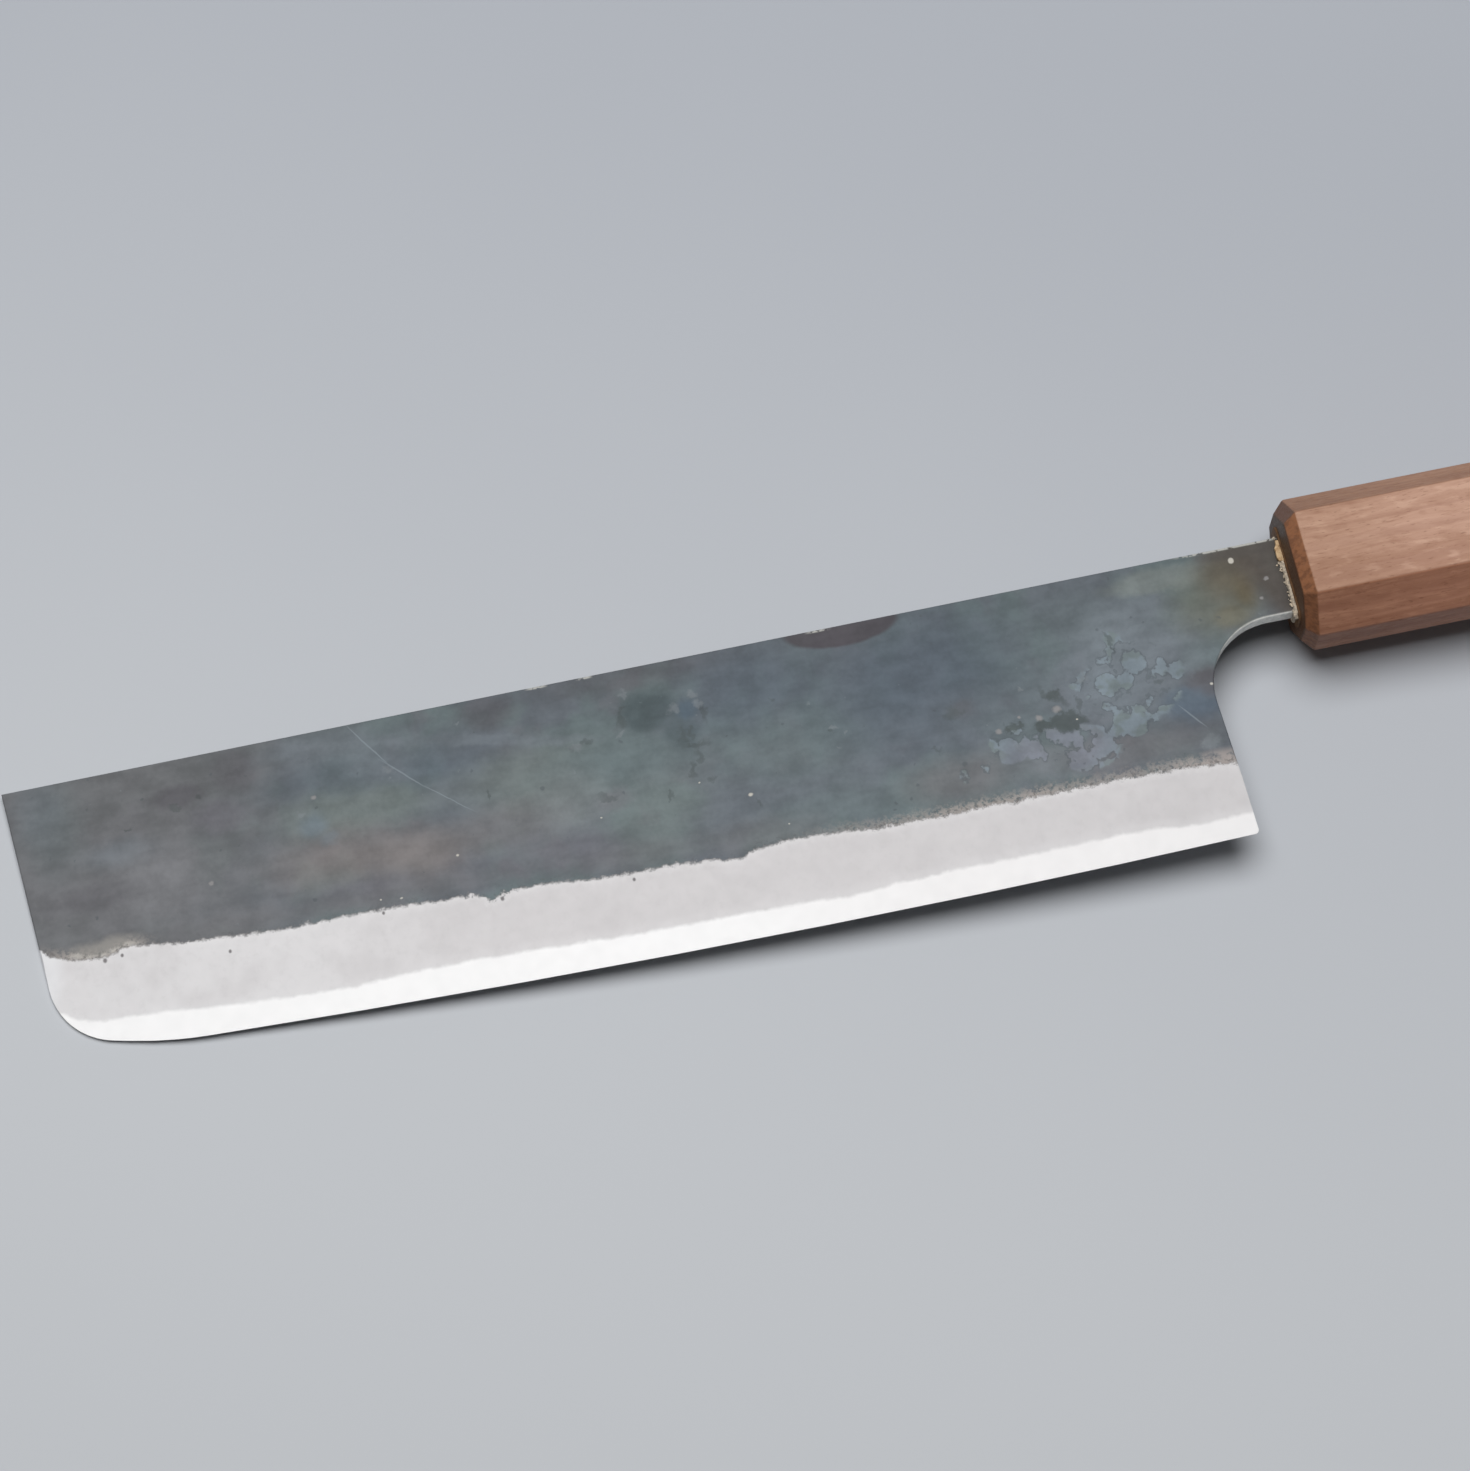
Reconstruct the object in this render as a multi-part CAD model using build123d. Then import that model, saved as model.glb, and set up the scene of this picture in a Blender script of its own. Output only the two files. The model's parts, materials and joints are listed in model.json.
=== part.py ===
from build123d import *
import os
from math import radians, sqrt, tan

# A nakiri, the straight-edged double-bevelled vegetable knife, with a wooden octagonal handle.
# Lengths are in millimetres and angles in degrees.
# It is built in its own axes: x runs from the blade's front end towards the handle's butt,
# y is zero on the spine and falls towards the edge, and z is zero on the blade's middle plane.
# At the end it is laid on its right side, on the three points that it rests on.

# Outline of the blade, seen from the side
blade_length = 210.5
blade_depth = 52.3
belly_radius = 2675.0
belly_low_share = 0.70
front_lean = 6.1
front_corner_radius = 12.5
toe_length = 22.6
toe_angle = 13.2
toe_radius = 72.0
heel_lean = 3.4
heel_corner_radius = 0.7
corner_room_share = 0.55
toe_room_share = 0.42

# Section of the blade: flats that thin towards the edge, then a bevel ground on both sides
spine_thickness_front = 1.6
spine_thickness_heel = 3.5
flat_taper = 0.5
bevel_height_front = 17.3
bevel_height_heel = 13.5
edge_thickness = 0.15
spine_chamfer = 0.3
corner_round = 0.3

# Hard steel core between the two soft iron sides
core_thickness_front = 0.42
core_thickness_heel = 0.98
core_thickness_tang_end = 0.5

# Neck, finger notch and tang
neck_depth = 14.2
choil_radius = 12.5
handle_gap = 16.3
tang_end_depth = 6.0
tang_end_thickness = 1.8

# Octagonal handle
handle_length = 140.0
handle_depth = 26.2
handle_thickness = 21.0
side_flat = 15.3
edge_flat = 7.0
handle_chamfer = 2.1

# Pale wooden liner in the handle's mortise, with a slot for the tang
liner_side_wall = 0.95
liner_edge_wall = 1.9
liner_end_wall = 8.0
liner_corner_radius = 1.6
liner_proud = 0.3
slot_clearance = 0.12
butt_cover = 32.0

# Bead of filler round the neck, on the liner's end
bead_spread = 0.85
bead_rise = 0.5
bead_draft = 35.0
bead_corner_radius = 0.9
bead_start = 4.6

# Every cutting body runs past what it cuts by this much
overrun = 10.0


def spine_half(x):
    """Half the thickness at the spine, which grows evenly from the front end to the handle."""
    growth = (spine_thickness_heel - spine_thickness_front) / blade_length
    return (spine_thickness_front + growth * x) / 2


def flat_half(x, depth):
    """Half the thickness of the flats, at a depth below the spine."""
    return spine_half(x) - depth * tan(radians(flat_taper))


def core_half(x):
    """Half the thickness of the steel core in the blade and neck."""
    growth = (core_thickness_heel - core_thickness_front) / blade_length
    return (core_thickness_front + growth * x) / 2


def edge_depth(x):
    """Depth of the edge below the spine, along the belly's arc."""
    from_low = x - blade_length * belly_low_share
    return blade_depth - belly_radius + sqrt(belly_radius**2 - from_low**2)


def bevel_height(x):
    """Height of the ground bevel above the edge."""
    return bevel_height_front + (bevel_height_heel - bevel_height_front) * x / blade_length


handle_front = blade_length + handle_gap
handle_axis = -neck_depth / 2
neck_thickness = 2 * spine_half(handle_front)
liner_length = handle_length - butt_cover
tang_length = liner_length - liner_end_wall - slot_clearance
tang_end = handle_front + tang_length
liner_depth = neck_depth + 2 * (slot_clearance + liner_edge_wall)
liner_thickness = neck_thickness + 2 * (slot_clearance + liner_side_wall)


def nearest_vertex(shape, point):
    return min(shape.vertices(), key=lambda vertex: (Vector(*vertex) - Vector(*point)).length)


def round_corner(face, point, radius):
    """The flat face with the corner at that point rounded."""
    return face.fillet_2d(radius, [nearest_vertex(face, point)])


def blade_outline():
    """Side view of the blade, neck and tang, as one flat face."""
    lean, toe = tan(radians(front_lean)), tan(radians(toe_angle))
    toe_depth = edge_depth(toe_length)
    corner_depth = (toe_depth - toe_length * toe) / (1 - lean * toe)
    heel_depth = edge_depth(blade_length)
    middle = (toe_length + blade_length) / 2

    front_top = (0, 0)
    front_corner = (corner_depth * lean, -corner_depth)
    toe_end = (toe_length, -toe_depth)
    edge_middle = (middle, -edge_depth(middle))
    heel = (blade_length, -heel_depth)
    notch = (blade_length - (heel_depth - neck_depth) * tan(radians(heel_lean)), -neck_depth)
    neck_bottom = (handle_front, -neck_depth)
    tang_bottom = (tang_end, handle_axis - tang_end_depth / 2)
    tang_top = (tang_end, handle_axis + tang_end_depth / 2)
    neck_top = (handle_front, 0)

    toe_line = Line(front_corner, toe_end)
    edges = [
        Line(front_top, front_corner),
        toe_line,
        ThreePointArc(toe_end, edge_middle, heel),
        Line(heel, notch),
        Line(notch, neck_bottom),
        Line(neck_bottom, tang_bottom),
        Line(tang_bottom, tang_top),
        Line(tang_top, neck_top),
        Line(neck_top, front_top),
    ]
    face = make_face(edges).face()

    # The two rounded corners share the toe's straight run, so neither may take more than its part
    corner_turn = 90 - front_lean - toe_angle
    belly_slope = (edge_depth(toe_length) - edge_depth(0)) / toe_length
    toe_turn = radians(toe_angle) - belly_slope
    corner_limit = corner_room_share * toe_line.length / tan(radians(corner_turn / 2))
    toe_limit = toe_room_share * toe_line.length / tan(toe_turn / 2)
    face = round_corner(face, front_corner, min(front_corner_radius, corner_limit))
    face = round_corner(face, toe_end, min(toe_radius, toe_limit))
    face = round_corner(face, heel, heel_corner_radius)
    return round_corner(face, notch, choil_radius)


def side_plane(x_slope, y_slope, height):
    """The plane z = height + x_slope * x + y_slope * y, facing up."""
    return Plane(origin=(0, 0, height), z_dir=(-x_slope, -y_slope, 1))


def cut_both_sides(body, plane):
    """Keeps what lies below the plane, and above its mirror image in the blade's middle plane."""
    body = split(body, bisect_by=plane, keep=Keep.BOTTOM)
    return mirror(split(mirror(body, Plane.XY), bisect_by=plane, keep=Keep.BOTTOM), Plane.XY)


def bevel_section(x):
    """What the grindstone takes off the left side, as a section across the blade."""
    root = edge_depth(x) - bevel_height(x)
    low = Vector(x, -edge_depth(x), edge_thickness / 2)
    high = Vector(x, -root, flat_half(x, root))
    reach = (high - low).normalized() * overrun
    low, high = low - reach, high + reach
    top = spine_thickness_heel + overrun
    corners = [low, high, Vector(x, high.Y, top), Vector(x, low.Y, top)]
    return make_face(Polyline(*corners, close=True))


def bevel_cutter():
    stations = (-overrun, blade_length / 2, blade_length + overrun)
    return loft([bevel_section(x) for x in stations])


def forged_body():
    """Blade, neck and tang as the smith leaves them, before the layers are told apart."""
    body = extrude(blade_outline(), amount=spine_thickness_heel, both=True)

    # Flats, thinner towards the front end and towards the edge
    growth = (spine_thickness_heel - spine_thickness_front) / blade_length / 2
    taper = tan(radians(flat_taper))
    body = cut_both_sides(body, side_plane(growth, taper, spine_half(0)))

    # Tang, drawn out thinner inside the handle
    fall = (spine_half(handle_front) - tang_end_thickness / 2) / tang_length
    body = cut_both_sides(body, side_plane(-fall, 0, spine_half(handle_front) + fall * handle_front))

    # Spine corners, broken along the line where the spine meets the flats
    slant = Vector(-growth, 1, 1)
    corner = Plane(origin=(0, 0, spine_half(0) - spine_chamfer), z_dir=slant)
    body = cut_both_sides(body, corner)

    # Finger notch and neck, rounded for the finger, and the ends of the blade with them
    body = fillet([edge for edge in body.edges() if is_notch_edge(edge)], corner_round)

    cutter = bevel_cutter()
    return body - cutter - mirror(cutter, Plane.XY)


def is_notch_edge(edge):
    """True on the long corners of the neck's lower side and the round of the finger notch."""
    middle = edge @ (1 / 2)
    along = blade_length - choil_radius < middle.X < handle_front
    across = -neck_depth - choil_radius < middle.Y < -neck_depth / 2
    return along and across and abs(middle.Z) > core_half(blade_length)


def core_layer():
    """The slab that the steel core fills, as a profile across the thickness."""
    beyond = tang_end + overrun
    profile = Polyline(
        (-overrun, 0, core_half(-overrun)),
        (handle_front, 0, core_half(handle_front)),
        (beyond, 0, core_thickness_tang_end / 2),
        (beyond, 0, -core_thickness_tang_end / 2),
        (handle_front, 0, -core_half(handle_front)),
        (-overrun, 0, -core_half(-overrun)),
        close=True,
    )
    return extrude(make_face(profile), amount=blade_depth + overrun, dir=(0, 1, 0), both=True)


def tang_space(clearance):
    """The room that the tang takes in its slot, from just outside the handle to its end."""
    start = handle_front - overrun
    end = tang_end + clearance
    neck_half = neck_depth / 2 + clearance
    end_half = tang_end_depth / 2 + clearance
    side = Polyline(
        (start, handle_axis + neck_half),
        (handle_front, handle_axis + neck_half),
        (end, handle_axis + end_half),
        (end, handle_axis - end_half),
        (handle_front, handle_axis - neck_half),
        (start, handle_axis - neck_half),
        close=True,
    )
    thick = neck_thickness / 2 + clearance
    thin = tang_end_thickness / 2 + clearance
    top = Polyline(
        (start, 0, thick),
        (handle_front, 0, thick),
        (end, 0, thin),
        (end, 0, -thin),
        (handle_front, 0, -thick),
        (start, 0, -thick),
        close=True,
    )
    side_body = extrude(make_face(side), amount=handle_thickness, both=True)
    return side_body & extrude(make_face(top), amount=handle_depth, dir=(0, 1, 0), both=True)


def cross_plane(x):
    """The plane across the handle at x, on the handle's middle line, facing the butt."""
    return Plane(origin=(x, handle_axis, 0), x_dir=(0, 1, 0), z_dir=(1, 0, 0))


def liner_block():
    front = handle_front - liner_proud
    profile = RectangleRounded(liner_depth, liner_thickness, liner_corner_radius)
    return extrude(cross_plane(front) * profile, amount=liner_length + liner_proud)


def handle_body():
    depth, thick = handle_depth / 2, handle_thickness / 2
    flat, narrow = side_flat / 2, edge_flat / 2
    corners = [
        (depth, narrow),
        (flat, thick),
        (-flat, thick),
        (-depth, narrow),
        (-depth, -narrow),
        (-flat, -thick),
        (flat, -thick),
        (depth, -narrow),
    ]
    profile = make_face(Polyline(*corners, close=True))
    body = extrude(cross_plane(handle_front) * profile, amount=handle_length)
    ends = body.faces().sort_by(Axis.X)
    body = chamfer(ends[0].edges() + ends[-1].edges(), handle_chamfer)
    return body - liner_block()


def neck_bead(forged):
    """Bead of filler on the liner's end, open over the spine's end of the neck."""
    profile = RectangleRounded(
        neck_depth + 2 * bead_spread, neck_thickness + 2 * bead_spread, bead_corner_radius
    )
    foot = cross_plane(handle_front - liner_proud) * profile
    bead = extrude(foot, amount=-bead_rise, taper=bead_draft)
    start = Plane(origin=(0, -bead_start, 0), z_dir=(0, 1, 0))
    return split(bead, bisect_by=start, keep=Keep.BOTTOM) - forged


def resting_plane():
    """The plane under the knife: it lies on the blade's front end and the handle's front rim."""
    shinogi = edge_depth(0) - bevel_height(0)
    spine_point = Vector(0, -spine_chamfer, -flat_half(0, spine_chamfer))
    lean = shinogi * tan(radians(front_lean))
    bevel_point = Vector(lean, -shinogi, -flat_half(lean, shinogi))
    rim_point = Vector(
        handle_front + handle_chamfer, handle_axis - side_flat / 2, -handle_thickness / 2
    )
    up = (rim_point - spine_point).cross(spine_point - bevel_point).normalized()
    along = Vector(1, 0, 0)
    return Plane(origin=spine_point, x_dir=along - up * up.dot(along), z_dir=up)


forged = forged_body()
layer = core_layer()
sides = (forged - layer).solids().sort_by(Axis.Z)
liner = liner_block() - tang_space(slot_clearance)

pieces = {
    "core_steel": forged & layer,
    "cladding_left": sides[-1],
    "cladding_right": sides[0],
    "handle": handle_body(),
    "tang_liner": liner,
    "neck_bead": neck_bead(forged),
}

# Lay the knife down, and put the origin under the middle of the box round it
ground = resting_plane()
laid = {name: ground.to_local_coords(shape) for name, shape in pieces.items()}
box = Compound(children=[Compound(shape.solids()) for shape in laid.values()]).bounding_box()
centre = Vector((box.min.X + box.max.X) / 2, (box.min.Y + box.max.Y) / 2, box.min.Z)

os.makedirs("parts", exist_ok=True)
for name, shape in laid.items():
    export_step(Pos(*(-centre)) * shape, f"parts/{name}.step")
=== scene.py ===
import json
from math import cos, radians, sin
from random import Random

import bpy
from mathutils import Matrix, Vector

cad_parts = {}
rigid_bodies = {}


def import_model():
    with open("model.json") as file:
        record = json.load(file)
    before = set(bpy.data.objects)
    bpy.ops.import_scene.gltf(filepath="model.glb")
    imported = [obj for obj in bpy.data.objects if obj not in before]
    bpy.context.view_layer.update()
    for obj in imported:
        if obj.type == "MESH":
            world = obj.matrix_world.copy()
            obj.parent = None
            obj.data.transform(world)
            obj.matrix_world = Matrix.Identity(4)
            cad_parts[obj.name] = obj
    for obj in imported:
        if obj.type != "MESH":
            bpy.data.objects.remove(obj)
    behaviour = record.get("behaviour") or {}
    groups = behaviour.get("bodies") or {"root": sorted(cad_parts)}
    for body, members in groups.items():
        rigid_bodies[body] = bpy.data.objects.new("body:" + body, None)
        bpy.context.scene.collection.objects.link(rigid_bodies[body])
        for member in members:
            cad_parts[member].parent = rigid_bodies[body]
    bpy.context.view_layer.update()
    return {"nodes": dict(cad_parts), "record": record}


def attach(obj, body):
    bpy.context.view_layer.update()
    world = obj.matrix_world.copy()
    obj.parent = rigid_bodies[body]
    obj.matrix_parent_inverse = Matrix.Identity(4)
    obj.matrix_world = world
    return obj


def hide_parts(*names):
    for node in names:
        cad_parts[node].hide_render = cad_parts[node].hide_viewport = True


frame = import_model()
bpy.ops.object.select_all(action="DESELECT")

# The blade: a core of hard steel with a side of soft iron forge-welded to each face. The flats keep the
# dark skin of the forge fire. The bevels are ground bare, grey on the iron and bright on the steel, and
# the underside of the neck and the round of the finger notch are rubbed smooth.
mm = 0.001
blade_long = 210.5
neck_deep = 14.2
notch_middle, notch_round = 221.5, 12.5
handle_front, handle_long = 226.8, 140.0
handle_axis = -neck_deep / 2

# How the knife lies, from the mounts on the handle's two side flats. They face straight left and right,
# and the middle of the handle is halfway between them. The knife's own axes run to the butt, up to the
# spine and out of the left side, and start at the blade's front end, on the spine.
side_flats = {mount["name"]: mount for mount in frame["record"]["mounts"]}
left_flat, right_flat = side_flats["handle_left_flat"], side_flats["handle_right_flat"]
to_left = Vector(left_flat["axis"]).normalized()
to_butt = Vector((to_left.z, 0, -to_left.x)).normalized()
to_spine = to_left.cross(to_butt)
mid_handle = (Vector(left_flat["pos_m"]) + Vector(right_flat["pos_m"])) / 2
from_start = to_butt * (handle_front + handle_long / 2) + to_spine * handle_axis
knife_lies = Matrix((to_butt, to_spine, to_left)).transposed().to_4x4()
knife_lies.translation = mid_handle - from_start * mm

# Two uneven lines along the blade, by points along it and down from the spine: where the skin ends and
# the bevel starts, and where the iron ends and the steel starts. No point is deeper than lines_deep.
lines_deep = 60.0
scale_line = (
    (0, 26.5), (3, 28.8), (5, 30.7), (8, 32.0), (12, 32.6), (14, 32.7), (16.5, 32.1), (18.4, 31.7),
    (22, 32.2), (29, 33.1), (49, 34.3), (60, 34.1), (71, 34.8), (77.2, 35.1), (78.9, 36.0), (80.4, 36.5),
    (82.2, 35.8), (101, 36.6), (118, 37.3), (123.7, 38.2), (125.3, 37.2), (153, 37.8), (184, 37.8),
    (203, 38.2), (210.5, 39.3),
)
steel_line = (
    (0, 38.0), (5, 40.6), (10, 43.2), (17, 43.8), (37, 45.6), (58, 46.5), (68, 46.0), (78, 46.3), (99, 47.1),
    (130, 47.8), (140, 48.2), (152, 47.7), (172, 47.5), (192, 47.3), (203, 48.1), (210.5, 47.8),
)


class Shade:
    """A number, vector or colour that varies over a surface, held as one output of a shader node."""

    def __init__(self, socket):
        self.socket = socket

    def node(self, kind, sockets, out=0, stops=(), **settings):
        """Adds a node to the same finish: its settings first, then its sockets' values or links."""
        tree = self.socket.id_data
        made = tree.nodes.new(kind)
        for name, value in settings.items():
            setattr(made, name, value)
        if kind == "ShaderNodeFloatCurve":
            line = made.mapping.curves[0].points
            line[0].location, line[1].location = stops[0], stops[-1]
            for stop in stops[1:-1]:
                line.new(*stop)
            made.mapping.update()
        for key, value in sockets.items():
            if isinstance(value, Shade):
                tree.links.new(value.socket, made.inputs[key])
            else:
                made.inputs[key].default_value = value
        return Shade(made.outputs[out])

    def math(self, operation, *values):
        return self.node("ShaderNodeMath", dict(enumerate(values)), operation=operation)

    def __add__(self, other):
        return self.math("ADD", self, other)

    def __radd__(self, other):
        return self.math("ADD", other, self)

    def __sub__(self, other):
        return self.math("SUBTRACT", self, other)

    def __rsub__(self, other):
        return self.math("SUBTRACT", other, self)

    def __mul__(self, other):
        return self.math("MULTIPLY", self, other)

    def __rmul__(self, other):
        return self.math("MULTIPLY", other, self)

    def __gt__(self, other):
        return self.math("GREATER_THAN", self, other)

    def __abs__(self):
        return self.math("ABSOLUTE", self)

    def at_least(self, other):
        return self.math("MAXIMUM", self, other)

    def at_most(self, other):
        return self.math("MINIMUM", self, other)

    def feed(self, shader, socket):
        self.socket.id_data.links.new(self.socket, shader.inputs[socket])


def new_finish(name, **plain):
    """A material with its shader, and the place on the piece as a shade. Plain values are set at once."""
    finish = bpy.data.materials.new(name)
    finish.use_nodes = True
    shader = finish.node_tree.nodes["Principled BSDF"]
    for socket, value in plain.items():
        shader.inputs[socket.replace("_", " ")].default_value = value
    return finish, shader, Shade(finish.node_tree.nodes.new("ShaderNodeTexCoord").outputs["Object"])


def seen(red, green, blue):
    """A colour as a screen shows it, from 0 to 255, as the light that it stands for."""
    return tuple((part / 255) ** 2.2 for part in (red, green, blue)) + (1,)


def ease(value, start, end, low=0.0, high=1.0):
    """Goes softly from low to high as the value goes from start to end."""
    sockets = {"Value": value, "From Min": start, "From Max": end, "To Min": low, "To Max": high}
    return value.node("ShaderNodeMapRange", sockets, interpolation_type="SMOOTHSTEP")


def over(under, layer, mask):
    """Lays one colour over another where the mask is 1."""
    return mask.node("ShaderNodeMix", {0: mask, 6: under, 7: layer}, out=2, data_type="RGBA")


def tinted(colour, red, green, blue):
    """The colour with its parts multiplied by plain numbers or shades."""
    return colour.node("ShaderNodeMix", {0: 1.0, 6: colour, 7: joined(red, green, blue)}, out=2,
                       data_type="RGBA", blend_type="MULTIPLY")


def largest(masks):
    whole = masks[0]
    for mask in masks[1:]:
        whole = whole.at_least(mask)
    return whole


def joined(across, down, out):
    lead = next(part for part in (across, down, out) if isinstance(part, Shade))
    return lead.node("ShaderNodeCombineXYZ", {0: across, 1: down, 2: out})


def split(point):
    return [point.node("ShaderNodeSeparateXYZ", {0: point}, out=part) for part in range(3)]


def cloud(point, size, detail=2.0, rough=0.5, out=0):
    """Soft noise round 0.5, in lumps about that many of the point's units across."""
    sockets = {"Vector": point, "Scale": 1 / size, "Detail": detail, "Roughness": rough}
    return point.node("ShaderNodeTexNoise", sockets, out=out)


def waver(point, size, reach, detail=2.0, rough=0.5):
    """Soft noise round 0, within half its reach each way."""
    return (cloud(point, size, detail, rough) - 0.5) * reach


def cells(point, size, unevenness=1.0):
    """How far the nearest of many scattered spots is. They lie about one size apart, and 1 is that far."""
    sockets = {"Vector": point, "Scale": 1 / size, "Randomness": unevenness}
    return point.node("ShaderNodeTexVoronoi", sockets, feature="F1")


def shifted(point, by, amount):
    """The point moved by a noise colour, up to half the amount each way."""
    push = point.node("ShaderNodeVectorMath", {0: by, 1: (0.5, 0.5, 0.5)}, operation="SUBTRACT")
    return point.node("ShaderNodeVectorMath", {0: push, 1: (amount,) * 3, 2: point}, operation="MULTIPLY_ADD")


def patch(point, across, down, half_long, half_deep, soft=0.5):
    """1 inside an oval patch and 0 outside it, with an edge as soft as a share of its size."""
    scale, middle = (1 / half_long, 1 / half_deep, 0), (-across / half_long, -down / half_deep, 0)
    away = point.node("ShaderNodeVectorMath", {0: point, 1: scale, 2: middle}, operation="MULTIPLY_ADD")
    return ease(length(away), 1 + soft, 1 - soft)


def patches(point, rows):
    """Oval patches as one mask. A row is where one lies, half its length and depth, and its softness."""
    return largest([patch(point, *row) for row in rows])


def specks(point, rows, deep_share):
    """Small soft marks as one mask. A row is where one lies and half its length."""
    return patches(point, [(across, down, size, size * deep_share, 0.5) for across, down, size in rows])


def dot(point, way):
    """How far the point lies along one way."""
    return point.node("ShaderNodeVectorMath", {0: point, 1: way}, out=1, operation="DOT_PRODUCT")


def length(point):
    return point.node("ShaderNodeVectorMath", {0: point}, out=1, operation="LENGTH")


def scratch(point, start, end, half_wide):
    """1 along a straight thin line from start to end, fading at its ends."""
    start, end = Vector(start), Vector(end)
    way = (end - start).normalized()
    long, middle = (end - start).length, (start + end) / 2
    turned = Matrix(((way.x, way.y), (-way.y, way.x)))
    flat = turned @ middle
    along, across = [dot(point, (*row, 0)) for row in turned]
    return patch(joined(along, across, 0), flat.x, flat.y, long / 2, half_wide, 0.45)


def drawn(along, line):
    """How deep a line drawn along the blade lies below the spine."""
    stops = [(across / blade_long, down / lines_deep) for across, down in line]
    share = along * (1 / blade_long)
    return share.node("ShaderNodeFloatCurve", {"Value": share}, stops=stops) * lines_deep


def facing(place, way):
    """How squarely the surface faces one way: 1 straight at it, 0 edge on, -1 away from it."""
    return dot(Shade(place.socket.node.outputs["Normal"]), way)


def in_knife(place):
    """The place in the knife's own axes and in millimetres: to the butt, to the spine, out of the left."""
    sockets = {"Vector": place, "Location": knife_lies.translation, "Rotation": knife_lies.to_euler()}
    return place.node("ShaderNodeMapping", sockets | {"Scale": (mm,) * 3}, vector_type="TEXTURE")


# Places on the blade. Noise is read at spot, where the two sides are far apart and so differ. Marks are
# placed at flat_spot, which runs the other way on the right side, and at neck_spot, the same on both.
blade_finish, blade_shader, place = new_finish("forged_blade", Specular_IOR_Level=0.3)
along, rise, out = split(in_knife(place))
depth = rise * -1
left = out > 0
sides_apart, marks_long = 40, 212
spot = joined(along, depth, out * 0.6 + left * sides_apart)
flat_spot = joined(left * along + (1 - left) * (marks_long - along), depth, 0)
neck_spot = joined(along, depth, 0)
ragged = cloud(spot, 5.0, 4, 0.6, out=1)
frayed = cloud(spot, 1.5, 3, 0.65, out=1)
torn = shifted(flat_spot, ragged, 3.4)

# The skin that the fire leaves: blue-grey, going green or brown by where and how long it was hot
ash, slate, blue, green = seen(107, 107, 109), seen(98, 104, 110), seen(90, 99, 108), seen(100, 111, 113)
pale, moss, sand = seen(114, 121, 127), seen(109, 117, 116), seen(122, 116, 114)
violet, soot, night = seen(103, 102, 108), seen(88, 87, 91), seen(80, 90, 93)
skin = over(slate, green, ease(cloud(spot, 16, 3, 0.55), 0.42, 0.60))
skin = over(skin, violet, ease(cloud(torn, 13, 3, 0.6), 0.52, 0.68) * 0.5)
skin = over(skin, ash, ease(along + rise * -0.5 + waver(spot, 14, 30, 3), 78, 30) * left * 0.85)

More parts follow.
